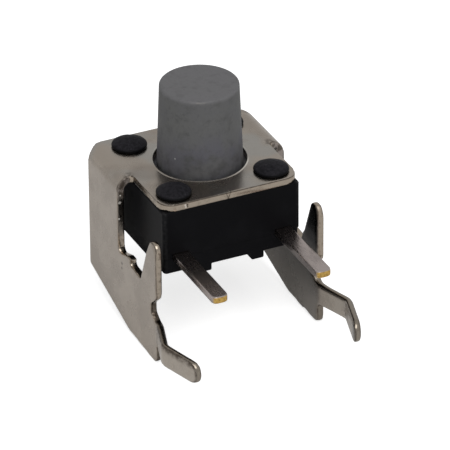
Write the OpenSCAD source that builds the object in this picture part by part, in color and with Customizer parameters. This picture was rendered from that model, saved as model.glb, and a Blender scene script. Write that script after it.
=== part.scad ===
// Right-angle push button switch with a snap-in support bracket, in millimetres.
// The board's face is the plane y = 0 and its far side is -Y; the button is pressed along -Z.
// The origin lies on the board midway between the two terminals, on their mid-plane.

/* [Board side] */
// Height of the button's axis above the board
axis_h = 3.75; // [3.65:0.05:4.2]
// Distance from a terminal's middle to the housing's nearest side
terminal_inset = 0.75; // [0.65:0.05:0.85]
// Width of a terminal
terminal_w = 0.66; // [0.5:0.02:0.8]
// Thickness of the terminals' strip
terminal_t = 0.3; // [0.2:0.05:0.35]
// Length of a terminal past the board's face
terminal_reach = 3; // [2:0.05:3.5]
// Radius of a terminal's two corners at its tip
tip_r = 0.16; // [0.05:0.01:0.2]

/* [Housing] */
// Side of the square housing
body_w = 6; // [5.9:0.1:6.4]
// Height of the housing from its underside to the bracket's plate
body_h = 2.8; // [2.5:0.05:3.2]
// Radius of the housing's upright corners
body_corner = 0.15; // [0.05:0.05:0.3]
// Height of the terminals' mid-plane above the housing's underside
lead_h = 0.72; // [0.5:0.01:0.8]
// Width of a rib under the housing
rib_w = 0.55; // [0.4:0.05:0.8]
// How far a rib stands out below the housing
rib_h = 0.3; // [0.1:0.05:0.4]
// Length of a rib from the housing's front or rear face
rib_l = 1.1; // [0.6:0.1:2]
// Distance between the middles of the two rows of ribs
rib_spacing = 2.3; // [1.8:0.05:2.6]
// How far the housing steps in below the mould's parting line
parting_step = 0.04; // [0.02:0.01:0.08]

/* [Studs] */
// Distance from a stud's middle to the housing's nearest faces
stud_inset = 0.86; // [0.8:0.01:0.95]
// Diameter of a stud's shank
stud_d = 0.9; // [0.7:0.05:1]
// Diameter of a stud's flattened head
head_d = 1.48; // [1.3:0.02:1.6]
// Height of a stud's head above the plate
head_h = 0.34; // [0.2:0.02:0.45]
// Height of the upright edge of a stud's head
head_edge = 0.12; // [0.05:0.01:0.16]

/* [Bracket] */
// Thickness of the bracket's sheet
sheet_t = 0.32; // [0.2:0.02:0.36]
// Gap between the housing's side and an arm
arm_gap = 0.39; // [0.3:0.01:0.6]
// Inside radius of the fold from the plate to an arm
fold_r = 0.3; // [0.15:0.05:0.35]
// How far the plate stands out past the housing's front face
front_lip = 0.02; // [0:0.01:0.2]
// How far the plate stands out past the housing's rear face
rear_lip = 0.03; // [0:0.01:0.2]
// Radius of the plate's front corners
plate_corner = 0.6; // [0.2:0.05:0.7]
// How far the arms' rear edges lie in front of the plate's rear edge
ear_inset = 0.24; // [0.1:0.02:0.3]
// Width over which the plate's rear edge falls back to the arms' rear edges
ear_taper = 0.38; // [0.34:0.02:0.5]
// Width of an arm's rear edge beyond that taper
ear_flat = 0.11; // [0.1:0.01:0.15]
// Radius of the taper's two bends
ear_r = 0.3; // [0.1:0.05:0.3]
// Distance that the arms' front edges lie in front of the button's axis
ear_lead = 0.1; // [0:0.05:0.5]
// Radius of the inner corner where an arm's fold leaves the plate
relief_r = 0.18; // [0.05:0.01:0.25]

/* [Arms] */
// Drop of the feet below the terminals' mid-plane
foot_drop = 4.25; // [3.9:0.02:4.5]
// Drop of an arm's rear corner below the terminals' mid-plane
heel_drop = 2.97; // [2.5:0.05:3.4]
// Distance from the board to the end of the foot's lower edge
foot_l = 2.75; // [2:0.05:3.2]
// Rise of the foot's lower edge from the board to that end
foot_rise = 0.15; // [0:0.02:0.3]
// Height of the finger's tip above the terminals' mid-plane
finger_top = 1.17; // [0.8:0.01:1.6]
// Width of the finger at its tip
finger_w = 0.62; // [0.5:0.02:0.75]
// Distance from the board to the bottom of the notch behind the finger
notch_y = 1.52; // [1.2:0.02:1.9]
// Drop of the notch's bottom below the terminals' mid-plane
notch_drop = 1.1; // [0.9:0.02:1.3]
// Length of the shelf from the arm's front edge to its nib
shelf_l = 1.22; // [0.8:0.02:1.4]
// Drop of the nib's top below the terminals' mid-plane
nib_drop = 0.72; // [0.6:0.02:0.9]
// How far the shelf falls from the nib to the arm's front edge
shelf_fall = 0.28; // [0.1:0.02:0.4]
// Length of the nib's flat top
nib_l = 0.35; // [0.25:0.01:0.4]
// How far the nib overhangs the notch behind the finger
nib_lip = 0.12; // [0.08:0.01:0.16]
// Radius of the corner between the shelf and the arm's front edge
shelf_r = 0.22; // [0.1:0.02:0.28]
// Radius of the punch's corners at the nib, the notch and the relief cut
punch_r = 0.12; // [0.05:0.01:0.14]
// Radius of a foot's front corner
foot_r = 0.3; // [0.1:0.05:0.4]
// Radius of the bend between a foot's lower edge and the slope to the heel
knee_r = 0.8; // [0.2:0.1:1]
// Radius of an arm's heel
heel_r = 0.15; // [0.05:0.05:0.3]

/* [Legs] */
// Width of a snap-in leg
leg_w = 0.98; // [0.8:0.02:1.2]
// Radius of the lower corner of a leg's tip
leg_tip_r = 0.4; // [0.1:0.02:0.4]
// Drop of a leg's upper edge below the terminals' mid-plane
leg_drop = 2.36; // [2.2:0.02:2.5]
// Length of a leg past the board's face
leg_reach = 3.56; // [3:0.02:4]
// Distance past the board's face of a leg's kink
kink_reach = 1.55; // [1.2:0.05:1.8]
// How far a leg's kink stands out past its arm
kink_out = 0.5; // [0.3:0.02:0.7]
// How far a leg's tip comes back in past its arm
tip_in = 0.08; // [0:0.02:0.4]
// Inside radius of a leg's two bends
leg_bend_r = 0.25; // [0.1:0.05:0.4]
// Depth of the relief cut above a leg's root
relief_depth = 0.52; // [0.3:0.05:0.7]
// Height of that relief cut
relief_h = 1.12; // [1.06:0.02:1.2]
// Fall of the relief cut's upper flank
relief_fall = 0.46; // [0.3:0.02:0.5]
// Rise of the relief cut's lower flank from the leg's root
relief_rise = 0.24; // [0.16:0.02:0.3]
// Radius of the relief cut's mouth and of the leg's root
relief_mouth_r = 0.2; // [0.1:0.02:0.22]
// Radius of the corner under a leg's root
leg_root_r = 0.06; // [0.03:0.01:0.1]

/* [Button] */
// Diameter of the button where it leaves the plate, as a share of the housing's side
button_share = 0.58; // [0.5:0.01:0.6]
// How much narrower the button is at its top
button_taper = 0.26; // [0:0.02:0.4]
// Height of the button above the plate
button_h = 3.42; // [2.5:0.02:4.5]
// Radius of the button's top edge
button_edge = 0.12; // [0.05:0.01:0.3]
// Gap between the button and the plate's hole
hole_gap = 0.15; // [0.1:0.01:0.2]
// How far the button travels
travel = 0.25; // [0.15:0.01:0.35]
// How far the retaining flange reaches past the plate's hole
flange_grip = 0.28; // [0.15:0.01:0.3]
// Thickness of the retaining flange
flange_t = 0.6; // [0.4:0.05:0.7]
// Diameter of the hub below the flange
hub_d = 2.2; // [1.6:0.1:2.4]
// Diameter of the nose that presses the snap dome
nose_d = 1.1; // [0.8:0.05:1.3]

/* [Snap dome and contacts] */
// Diameter of the snap dome, as a share of the housing's side
dome_share = 0.65; // [0.6:0.01:0.66]
// Thickness of the snap dome
dome_t = 0.07; // [0.05:0.01:0.1]
// How far the rim contact's pads stand above the centre contact
rim_step = 0.08; // [0.06:0.01:0.1]
// Radial width of the rim contact
rim_w = 0.5; // [0.4:0.05:0.6]
// Diameter of the centre contact's pad
centre_pad_d = 1.3; // [1:0.05:1.6]

/* [Clearances] */
// Between the flange and the wall of its chamber
chamber_gap = 0.1; // [0.05:0.01:0.15]
// Between the snap dome's edge and the wall of its seat
dome_gap = 0.06; // [0.04:0.01:0.1]
// Between the flange and the underside of the plate
flange_gap = 0.02; // [0.01:0.01:0.05]
// Between the nose and the crown of the snap dome
nose_gap = 0.02; // [0.01:0.01:0.04]
// Between a stud's shank and its hole in the plate
stud_gap = 0.05; // [0.02:0.01:0.1]

/* [Hidden] */
$fn = 64;
arc_steps = 5;

body_z = -lead_h;
plate_z = body_z + body_h;
plate_top = plate_z + sheet_t;
button_top = plate_top + button_h;
front_y = axis_h - body_w / 2;
rear_y = axis_h + body_w / 2;
terminal_pitch = body_w - 2 * terminal_inset;
button_d = body_w * button_share;
button_top_d = button_d - button_taper;
dome_d = body_w * dome_share;

arm_x = body_w / 2 + arm_gap;
arm_outer = arm_x + sheet_t;
ear_y = axis_h - ear_lead;
plate_rear = rear_y + rear_lip;
ear_rear = plate_rear - ear_inset;
fold_z = plate_z - fold_r;

lead_top = terminal_t / 2;
floor_z = lead_top + rim_step;
dome_rise = travel - rim_step;
crown_z = floor_z + dome_rise + dome_t;
hole_r = button_d / 2 + hole_gap;
flange_r = hole_r + flange_grip;
flange_top = plate_z - flange_gap;
seat_r = dome_d / 2 + dome_gap;
chamber_r = flange_r + chamber_gap;
chamber_floor = flange_top - flange_t - travel - chamber_gap;
cut_over = 0.2;
round_over = 0.01;

function xy(p) = [p[0], p[1]];
function unit(v) = v / norm(v);
function cross2(a, b) = a[0] * b[1] - a[1] * b[0];
function left_of(v) = [-v[1], v[0]];
function polar(r, angle) = r * [cos(angle), sin(angle)];

// Length that a corner's arc may take of the edge to its neighbour, which is shared if both are round
function edge_room(at, other) = norm(xy(other) - xy(at)) / (other[2] == 0 ? 1 : 2) - round_over;

// Turns one corner [x, y, radius] between its neighbours into an arc that fits its two edges
function fillet(before, at, after) =
    let (
        back = unit(xy(before) - xy(at)),
        ahead = unit(xy(after) - xy(at)),
        half = acos(back * ahead) / 2,
        r = min(at[2], min(edge_room(at, before), edge_room(at, after)) * tan(half)),
        centre = xy(at) + unit(back + ahead) * r / sin(half),
        spoke = xy(at) + back * r / tan(half) - centre,
        start = atan2(spoke[1], spoke[0]),
        sweep = sign(cross2(ahead, back)) * (180 - 2 * half)
    )
    [for (i = [0:arc_steps]) centre + polar(r, start + sweep * i / arc_steps)];

// Closed outline through corners [x, y, radius], sharp where the radius is 0
function outline(corners) =
    let (n = len(corners))
    [for (i = [0:n - 1])
        each corners[i][2] == 0 ? [xy(corners[i])]
            : fillet(corners[(i + n - 1) % n], corners[i], corners[(i + 1) % n])];

// One side of a bent sheet: corners offset to the left of the path, with that side's bend radii
function sheet_side(path, shift, inner_r) =
    let (last = len(path) - 1)
    [for (i = [0:last])
        let (
            before = i == 0 ? unit(path[1] - path[0]) : unit(path[i] - path[i - 1]),
            after = i == last ? before : unit(path[i + 1] - path[i]),
            across = unit(left_of(before) + left_of(after)),
            offset_at = path[i] + across * shift / (across * left_of(before)),
            inside = cross2(before, after) * shift > 0,
            bend = i == 0 || i == last ? 0 : inner_r + (inside ? 0 : sheet_t)
        )
        [offset_at[0], offset_at[1], bend]];

function reversed(list) = [for (i = [len(list) - 1:-1:0]) list[i]];

// Draws an outline given as [y, z] along X, between two x values
module side_prism(x_low, x_high) {
    translate([x_low, 0, 0]) rotate([90, 0, 90]) linear_extrude(x_high - x_low) children();
}

module at_axis() {
    translate([0, axis_h, 0]) children();
}

module at_studs(z) {
    offset_xy = body_w / 2 - stud_inset;
    at_axis() for (x = [-1, 1], y = [-1, 1]) translate([x * offset_xy, y * offset_xy, z]) children();
}

// Square block about the button's axis, its sides drawn in by an inset
module square_block(inset, z_low, z_high) {
    half = body_w / 2 - inset;
    at_axis() translate([0, 0, z_low]) linear_extrude(z_high - z_low)
        polygon(outline([for (c = [[-1, -1], [1, -1], [1, 1], [-1, 1]])
            [c[0] * half, c[1] * half, body_corner]]));
}

// A stud: its shank through the plate and the head that was flattened over it
module stud() {
    rise = head_h - head_edge;
    cap_r = (pow(head_d / 2, 2) + rise * rise) / (2 * rise);
    cap_angle = asin(head_d / 2 / cap_r);
    cap_points = [for (i = [arc_steps:-1:0]) let (a = cap_angle * i / arc_steps)
        [cap_r * sin(a), sheet_t + head_h - cap_r * (1 - cos(a))]];
    rotate_extrude() polygon(concat(
        [[0, -sheet_t], [stud_d / 2, -sheet_t], [stud_d / 2, sheet_t], [head_d / 2, sheet_t]],
        cap_points));
}

module ribs() {
    for (x = [-1, 1], y = [front_y + parting_step, rear_y - parting_step - rib_l])
        translate([x * rib_spacing / 2 - rib_w / 2, y, body_z - rib_h]) cube([rib_w, rib_l, rib_h]);
}

module chambers() {
    at_axis() {
        translate([0, 0, floor_z]) cylinder(r = seat_r, h = plate_z + cut_over - floor_z);
        translate([0, 0, chamber_floor]) cylinder(r = chamber_r, h = plate_z + cut_over - chamber_floor);
        cylinder(d = centre_pad_d, h = floor_z + cut_over);
    }
}

module housing() {
    color([0.07, 0.07, 0.08]) difference() {
        union() {
            square_block(parting_step, body_z, 0);
            square_block(0, 0, plate_z);
            ribs();
            at_studs(plate_z) stud();
        }
        chambers();
        rim_lead();
        centre_lead();
    }
}

// A terminal's strip from its rounded tip to a depth inside the housing
module terminal_strip(side, depth) {
    half = terminal_w / 2;
    translate([side * terminal_pitch / 2, 0, -terminal_t / 2]) linear_extrude(terminal_t)
        polygon(outline([
            [-half, -terminal_reach, tip_r], [half, -terminal_reach, tip_r],
            [half, depth, 0], [-half, depth, 0]
        ]));
}

// Half ring behind the button's axis, on which the snap dome's rim stands
module rim_ring(z_low, z_high) {
    at_axis() translate([0, 0, z_low]) intersection() {
        difference() {
            cylinder(r = seat_r, h = z_high - z_low);
            translate([0, 0, -cut_over]) cylinder(r = seat_r - rim_w, h = z_high - z_low + 2 * cut_over);
        }
        translate([-dome_d, 0, 0]) cube([2 * dome_d, dome_d, z_high - z_low]);
    }
}

module rim_lead() {
    strip_inner = terminal_pitch / 2 - terminal_w / 2;
    bridge_x = seat_r - rim_w / 2;
    union() {
        terminal_strip(-1, axis_h + terminal_w);
        translate([-strip_inner - terminal_w / 2, axis_h, -terminal_t / 2])
            cube([strip_inner + terminal_w / 2 - bridge_x, terminal_w, terminal_t]);
        rim_ring(-terminal_t / 2, floor_z);
    }
}

module centre_lead() {
    corner = [terminal_pitch / 2, front_y + terminal_w, 0];
    run = [0, axis_h, 0] - corner;
    union() {
        terminal_strip(1, corner[1] + terminal_w / 2);
        translate([corner[0], corner[1], -terminal_t / 2]) rotate([0, 0, atan2(run[1], run[0])])
            translate([0, -terminal_w / 2, 0]) cube([norm(run), terminal_w, terminal_t]);
        at_axis() translate([0, 0, -terminal_t / 2]) cylinder(d = centre_pad_d, h = terminal_t);
    }
}

module terminal_rim() {
    color([0.74, 0.71, 0.66]) rim_lead();
}

module terminal_centre() {
    color([0.74, 0.71, 0.66]) centre_lead();
}

// Spherical spring disc that clicks through and joins the rim to the centre contact
module snap_dome() {
    half = dome_d / 2;
    sphere_r = (half * half + dome_rise * dome_rise) / (2 * dome_rise);
    rim_angle = asin(half / sphere_r);
    cap_steps = 8;
    function cap(lift, i) = let (a = rim_angle * i / cap_steps)
        [sphere_r * sin(a), floor_z + dome_rise - sphere_r * (1 - cos(a)) + lift];
    color([0.78, 0.78, 0.8]) at_axis() rotate_extrude()
        polygon(concat([for (i = [0:cap_steps]) cap(0, i)], [for (i = [cap_steps:-1:0]) cap(dome_t, i)]));
}

module button() {
    color([0.42, 0.42, 0.43]) at_axis() rotate_extrude() polygon(outline([
        [0, crown_z + nose_gap, 0],
        [nose_d / 2, crown_z + nose_gap, 0],
        [hub_d / 2, flange_top - flange_t, 0],
        [flange_r, flange_top - flange_t, 0],
        [flange_r, flange_top, 0],
        [button_d / 2, flange_top, 0],
        [button_d / 2, plate_top, 0],
        [button_top_d / 2, button_top, button_edge],
        [0, button_top, 0]
    ]));
}

// The plate and its two folds, from above
module plate_outline() {
    half = body_w / 2;
    right = [
        [half, front_y - front_lip, plate_corner],
        [half, ear_y, relief_r],
        [arm_outer, ear_y, 0],
        [arm_outer, ear_rear, 0],
        [arm_outer - ear_flat, ear_rear, ear_r],
        [arm_outer - ear_flat - ear_taper, plate_rear, ear_r]
    ];
    left = [for (c = reversed(right)) [-c[0], c[1], c[2]]];
    polygon(outline(concat(right, left)));
}

// The sheet's section across the plate, with a fold down to each arm
module fold_section() {
    fold_outer = fold_r + sheet_t;
    flat_half = arm_outer - fold_outer;
    translate([-flat_half, plate_z]) square([2 * flat_half, sheet_t]);
    for (side = [0, 1]) mirror([side, 0]) translate([flat_half, fold_z]) intersection() {
        difference() {
            circle(r = fold_outer);
            circle(r = fold_r);
        }
        square(fold_outer);
    }
}

module plate() {
    difference() {
        intersection() {
            translate([0, plate_rear, 0]) rotate([90, 0, 0])
                linear_extrude(plate_rear - front_y + front_lip) fold_section();
            translate([0, 0, fold_z]) linear_extrude(plate_top - fold_z) plate_outline();
        }
        at_axis() translate([0, 0, plate_z - cut_over]) cylinder(r = hole_r, h = sheet_t + 2 * cut_over);
        at_studs(plate_z - cut_over) cylinder(d = stud_d + 2 * stud_gap, h = sheet_t + 2 * cut_over);
    }
}

// The right arm and leg from above: a straight sheet whose leg bends out and comes back
function arm_plan() =
    let (
        mid = arm_x + sheet_t / 2,
        slope = (kink_out + tip_in) / (leg_reach - kink_reach),
        past_tip = sheet_t,
        path = [
            [mid, ear_rear],
            [mid, 0],
            [mid + kink_out, -kink_reach],
            [mid - tip_in - slope * past_tip, -leg_reach - past_tip]
        ]
    )
    concat(sheet_side(path, sheet_t / 2, leg_bend_r), reversed(sheet_side(path, -sheet_t / 2, leg_bend_r)));

// The arm, its finger, foot and leg from the side, as [y, z, radius]
function arm_side() =
    let (
        leg_top = -leg_drop,
        leg_low = leg_top - leg_w,
        relief_top = leg_top + relief_h,
        nib_y = ear_y - shelf_l,
        finger_r = finger_w / 2 - round_over,
        leg_r = leg_w / 2 - round_over
    )
    [
        [ear_rear, fold_z, 0],
        [ear_y, fold_z, 0],
        [ear_y, -nib_drop - shelf_fall, shelf_r],
        [nib_y + nib_l, -nib_drop, shelf_r],
        [nib_y, -nib_drop, punch_r],
        [nib_y + nib_lip, -notch_drop + nib_lip, punch_r],
        [notch_y, -notch_drop, punch_r],
        [finger_w, finger_top, finger_r],
        [0, finger_top, finger_r],
        [0, relief_top, relief_mouth_r],
        [relief_depth, relief_top - relief_fall, punch_r],
        [relief_depth, leg_top + relief_rise, punch_r],
        [relief_depth - relief_rise - punch_r, leg_top, relief_mouth_r],
        [-leg_reach, leg_top, leg_r],
        [-leg_reach, leg_low, leg_tip_r],
        [0, leg_low, leg_root_r],
        [0, -foot_drop, foot_r],
        [foot_l, -foot_drop + foot_rise, knee_r],
        [ear_rear, -heel_drop, heel_r]
    ];

module arm() {
    intersection() {
        translate([0, 0, -foot_drop]) linear_extrude(fold_z + foot_drop) polygon(outline(arm_plan()));
        side_prism(arm_x - tip_in - sheet_t, arm_outer + kink_out + sheet_t) polygon(outline(arm_side()));
    }
}

module bracket() {
    color([0.66, 0.63, 0.59]) union() {
        plate();
        arm();
        mirror([1, 0, 0]) arm();
    }
}

housing();
bracket();
button();
snap_dome();
terminal_rim();
terminal_centre();
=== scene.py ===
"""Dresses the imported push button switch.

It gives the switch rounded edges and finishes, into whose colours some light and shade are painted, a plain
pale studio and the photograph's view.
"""

import logging
from dataclasses import dataclass
from enum import Enum
from functools import reduce
from math import cos, pi, radians, sin
from operator import mul
from typing import Callable, Mapping, Sequence, Union

import bmesh
import bpy
from mathutils import Matrix, Vector, noise

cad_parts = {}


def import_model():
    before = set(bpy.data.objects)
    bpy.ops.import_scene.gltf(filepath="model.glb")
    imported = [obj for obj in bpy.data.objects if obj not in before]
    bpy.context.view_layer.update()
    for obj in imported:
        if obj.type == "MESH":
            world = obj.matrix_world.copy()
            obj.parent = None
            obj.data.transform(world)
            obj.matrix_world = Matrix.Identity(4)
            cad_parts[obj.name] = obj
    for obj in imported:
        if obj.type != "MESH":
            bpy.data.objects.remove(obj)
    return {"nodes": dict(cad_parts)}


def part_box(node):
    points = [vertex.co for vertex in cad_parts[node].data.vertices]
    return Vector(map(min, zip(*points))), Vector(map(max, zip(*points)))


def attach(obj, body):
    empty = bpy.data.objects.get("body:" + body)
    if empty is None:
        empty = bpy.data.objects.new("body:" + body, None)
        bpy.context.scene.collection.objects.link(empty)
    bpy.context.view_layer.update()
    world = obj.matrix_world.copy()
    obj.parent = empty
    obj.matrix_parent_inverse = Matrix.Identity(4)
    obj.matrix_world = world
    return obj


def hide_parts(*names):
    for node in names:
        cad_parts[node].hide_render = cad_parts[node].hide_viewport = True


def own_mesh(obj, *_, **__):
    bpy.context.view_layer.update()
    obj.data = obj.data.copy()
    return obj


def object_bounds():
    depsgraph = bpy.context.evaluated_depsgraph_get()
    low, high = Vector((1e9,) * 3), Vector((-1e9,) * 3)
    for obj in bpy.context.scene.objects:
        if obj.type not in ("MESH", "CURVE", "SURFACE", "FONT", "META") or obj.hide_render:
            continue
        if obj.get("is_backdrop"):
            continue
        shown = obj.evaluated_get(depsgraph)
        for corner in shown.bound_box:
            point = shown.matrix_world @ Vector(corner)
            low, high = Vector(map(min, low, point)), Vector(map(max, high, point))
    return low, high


LOG = logging.getLogger("switch")
MM = 0.001
CUT_ATTRIBUTE = "bare_cut"
WHOLLY_CUT = 0.95
NOISE_MIDDLE = 0.5
SPOT_CORE = 0.45
FINE_DETAIL = 2.0
WELD_DISTANCE = 0.0005
FLAT_ANGLE = 0.4

Colour = tuple[float, float, float]
Point = tuple[float, float, float]
Span = tuple[float, float]
Marks = tuple[tuple[Point, float], ...]
Section = Sequence[tuple[float, float]]
Input = Union["Number", "Tint", float, Colour, Sequence[float]]


class Axis(Enum):
    """An axis of the row frame, by its place in a coordinate."""

    X = 0
    Y = 1
    Z = 2


class Ray(Enum):
    """The kinds of ray that see the pale ground and backdrop."""

    CAMERA = "Is Camera Ray"
    GLOSSY = "Is Glossy Ray"
    TRANSMISSION = "Is Transmission Ray"


@dataclass(frozen=True)
class Zone:
    """A soft region of the row frame, in millimetres, of which any part may be left out.

    x, y, z and below, a second one for z, give where the region starts and where it is full.
    aside does so for the distance from the middle plane. The others give a middle and a half width.
    """

    x: Span | None = None
    y: Span | None = None
    z: Span | None = None
    below: Span | None = None
    aside: Span | None = None
    near_x: Span | None = None
    near_y: Span | None = None
    near_z: Span | None = None


# Shader maths.


class Number:
    """A socket that carries a number, on which Python's operators add Math nodes."""

    def __init__(self, recipe: "Recipe", socket: bpy.types.NodeSocket) -> None:
        """Wraps one output socket of a recipe's tree."""
        self.recipe = recipe
        self.socket = socket

    def math(self, operation: str, *values: Input, clamp: bool = False) -> "Number":
        """Adds one Math node.

        Args:
            operation: the node's operation.
            values: what goes into its sockets, in order.
            clamp: whether the result is kept between 0 and 1.

        Returns:
            The node's result.
        """
        settings = {"operation": operation, "use_clamp": clamp}
        made = self.recipe.node("ShaderNodeMath", settings, dict(enumerate(values)))
        return Number(self.recipe, made.outputs[0])

    def __add__(self, other: Input) -> "Number":
        """Adds."""
        return self.math("ADD", self, other)

    __radd__ = __add__

    def __mul__(self, other: Input) -> "Number":
        """Multiplies."""
        return self.math("MULTIPLY", self, other)

    __rmul__ = __mul__

    def __sub__(self, other: Input) -> "Number":
        """Takes other from this."""
        return self.math("SUBTRACT", self, other)

    def __rsub__(self, other: Input) -> "Number":
        """Takes this from other."""
        return self.math("SUBTRACT", other, self)

    def __abs__(self) -> "Number":
        """Drops the sign."""
        return self.math("ABSOLUTE", self)

    def clamped(self) -> "Number":
        """Keeps the number between 0 and 1."""
        return self.math("ADD", self, 0.0, clamp=True)

    def either(self, other: Input) -> "Number":
        """The larger of two numbers."""
        return self.math("MAXIMUM", self, other)

    def swing(self, amount: float) -> "Number":
        """Turns a noise into one around nothing that swings by amount."""
        return (self - NOISE_MIDDLE) * amount

    def rise(self, start: float, end: float) -> "Number":
        """Goes smoothly from 0 at start to 1 at end.

        Args:
            start: the number that gives 0.
            end: the number that gives 1, which may be the smaller one.

        Returns:
            The step.
        """
        made = self.recipe.node(
            "ShaderNodeMapRange",
            {"interpolation_type": "SMOOTHSTEP"},
            {"Value": self, "From Min": start, "From Max": end, "To Min": 0.0, "To Max": 1.0},
        )
        return Number(self.recipe, made.outputs[0])

    def band(self, middle: Input, half: float) -> "Number":
        """1 at middle, falling to 0 at half on both sides."""
        return abs(self - middle).rise(half, 0.0)


class Tint:
    """A socket that carries a colour or a point."""

    def __init__(self, recipe: "Recipe", socket: bpy.types.NodeSocket) -> None:
        """Wraps one output socket of a recipe's tree."""
        self.recipe = recipe
        self.socket = socket

    def toward(self, other: Input, amount: Input) -> "Tint":
        """Mixes another colour in.

        Args:
            other: the other colour.
            amount: how much of it, from 0 to 1.

        Returns:
            The mixed colour.
        """
        return self.recipe.blend(self, other, amount)

    def part(self, axis: Axis) -> Number:
        """One coordinate of a point."""
        split = self.recipe.node("ShaderNodeSeparateXYZ", {}, {0: self})
        return Number(self.recipe, split.outputs[axis.value])


@dataclass(frozen=True)
class Mottle:
    """How strongly a layer shows: evenly, and more where a noise rises through a span."""

    even: float
    spotted: float
    span: Span

    def amount(self, over: Number) -> Number:
        """The layer's strength over a noise, or over any other number."""
        return self.even + self.spotted * over.rise(*self.span)


class Recipe:
    """The node tree of a material or of the world, built from one method that adds any node."""

    def __init__(self, owner: Union[bpy.types.Material, bpy.types.World]) -> None:
        """Empties the owner's tree.

        Args:
            owner: the material or world that the tree belongs to.
        """
        owner.use_nodes = True
        self.owner = owner
        self.tree = owner.node_tree
        self.tree.nodes.clear()
        self._place: Tint | None = None

    def node(
        self, kind: str, settings: Mapping[str, object], inputs: Mapping[int | str, Input]
    ) -> bpy.types.Node:
        """Adds a node of any kind.

        Args:
            kind: the node's type.
            settings: its own settings, which are set first.
            inputs: a value or a link for each named or numbered socket.

        Returns:
            The node.
        """
        made = self.tree.nodes.new(kind)
        for key, value in settings.items():
            setattr(made, key, value)
        for key, value in inputs.items():
            socket = made.inputs[key]
            if isinstance(value, (Number, Tint)):
                self.tree.links.new(value.socket, socket)
            elif isinstance(value, bpy.types.NodeSocket):
                self.tree.links.new(value, socket)
            elif socket.type == "RGBA":
                socket.default_value = (*value[:3], 1.0)
            else:
                socket.default_value = value
        return made

    def blend(self, first: Input, second: Input, amount: Input) -> Tint:
        """Mixes two colours.

        Args:
            first: the colour that 0 gives.
            second: the colour that 1 gives.
            amount: where between them, from 0 to 1.

        Returns:
            The mixed colour.
        """
        made = self.node("ShaderNodeMix", {"data_type": "RGBA"}, {0: amount, 6: first, 7: second})
        return Tint(self, made.outputs[2])

    def place(self) -> Tint:
        """The point on the object, in millimetres of the row frame.

        Returns:
            The point.
        """
        if self._place is None:
            coordinates = self.node("ShaderNodeTexCoord", {}, {}).outputs["Object"]
            inputs = {0: coordinates, "Scale": 1.0 / MM}
            scaled = self.node("ShaderNodeVectorMath", {"operation": "SCALE"}, inputs)
            self._place = Tint(self, scaled.outputs[0])
        return self._place

    def along(self, axis: Axis) -> Number:
        """How far along an axis the point lies, in millimetres."""
        return self.place().part(axis)

    def within(self, zone: Zone) -> Number:
        """How far inside a soft region the point lies.

        Args:
            zone: the region.

        Returns:
            A number from 0 to 1.
        """
        ramps = ((Axis.X, zone.x), (Axis.Y, zone.y), (Axis.Z, zone.z), (Axis.Z, zone.below))
        bands = ((Axis.X, zone.near_x), (Axis.Y, zone.near_y), (Axis.Z, zone.near_z))
        steps = [self.along(axis).rise(*span) for axis, span in ramps if span]
        steps += [self.along(axis).band(*span) for axis, span in bands if span]
        if zone.aside:
            steps.append(abs(self.along(Axis.X)).rise(*zone.aside))
        return reduce(mul, steps)

    def stretched(self, scale: Point) -> Tint:
        """The point with its axes scaled, for a pattern that is longer one way."""
        inputs = {0: self.place(), 1: scale}
        return Tint(self, self.node("ShaderNodeVectorMath", {"operation": "MULTIPLY"}, inputs).outputs[0])

    def away(self, point: Point) -> Number:
        """How far the surface is from a point, in millimetres."""
        made = self.node("ShaderNodeVectorMath", {"operation": "DISTANCE"}, {0: self.place(), 1: point})
        return Number(self, made.outputs["Value"])

    def grain(
        self, size: float, detail: float = 3.0, rough: float = 0.55, at: Tint | None = None
    ) -> Number:
        """Noise around 0.5.

        Args:
            size: the size of its spots in millimetres.
            detail: how many finer layers it has.
            rough: how strong the finer layers are.
            at: the point to read it at, or none for the point itself.

        Returns:
            The noise.
        """
        made = self.node(
            "ShaderNodeTexNoise",
            {"noise_dimensions": "3D"},
            {"Vector": at or self.place(), "Scale": 1.0 / size, "Detail": detail, "Roughness": rough},
        )
        return Number(self, made.outputs[0])

    def spots(self, marks: Marks, ragged: Number) -> Number:
        """1 on some small marks, which have a ragged outline.

        Args:
            marks: each mark's middle and radius, in millimetres.
            ragged: noise around 0.5 that shapes their outline.

        Returns:
            The marks.
        """
        found = [
            (self.away(middle) + ragged.swing(radius)).rise(radius, radius * SPOT_CORE)
            for middle, radius in marks
        ]
        return reduce(Number.either, found)

    def attribute(self, name: str) -> Number:
        """A number that the piece's mesh carries."""
        made = self.node("ShaderNodeAttribute", {"attribute_name": name}, {})
        return Number(self, made.outputs["Fac"])

    def ray(self, kind: Ray) -> Number:
        """1 for the rays of one kind."""
        path = self.node("ShaderNodeLightPath", {}, {})
        return Number(self, path.outputs[kind.value])

    def shown(self) -> Number:
        """1 for the rays that see the pale ground: the camera's, and those off metal and through glass."""
        return self.ray(Ray.CAMERA).either(self.ray(Ray.GLOSSY)).either(self.ray(Ray.TRANSMISSION))

    def bump(self, height: Number, depth: float) -> bpy.types.NodeSocket:
        """Turns a height into a normal, where depth is what a height of 1 is in millimetres."""
        inputs = {"Strength": 1.0, "Distance": depth * MM, "Height": height}
        return self.node("ShaderNodeBump", {}, inputs).outputs[0]

    def finish(self, **sockets: Input) -> bpy.types.Material:
        """Ends a material's tree in a Principled shader.

        Args:
            sockets: the shader's sockets, with underscores for spaces.

        Returns:
            The material.
        """
        inputs = {key.replace("_", " "): value for key, value in sockets.items()}
        shader = self.node("ShaderNodeBsdfPrincipled", {}, inputs)
        self.node("ShaderNodeOutputMaterial", {}, {"Surface": shader.outputs[0]})
        return self.owner


# Finishes.


@dataclass(frozen=True)
class Grains:
    """The noises of the plated sheet, and where it is cut."""

    cut: Number
    cloud: Number
    patch: Number
    fleck: Number
    dust: Number
    tear: Number


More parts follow.
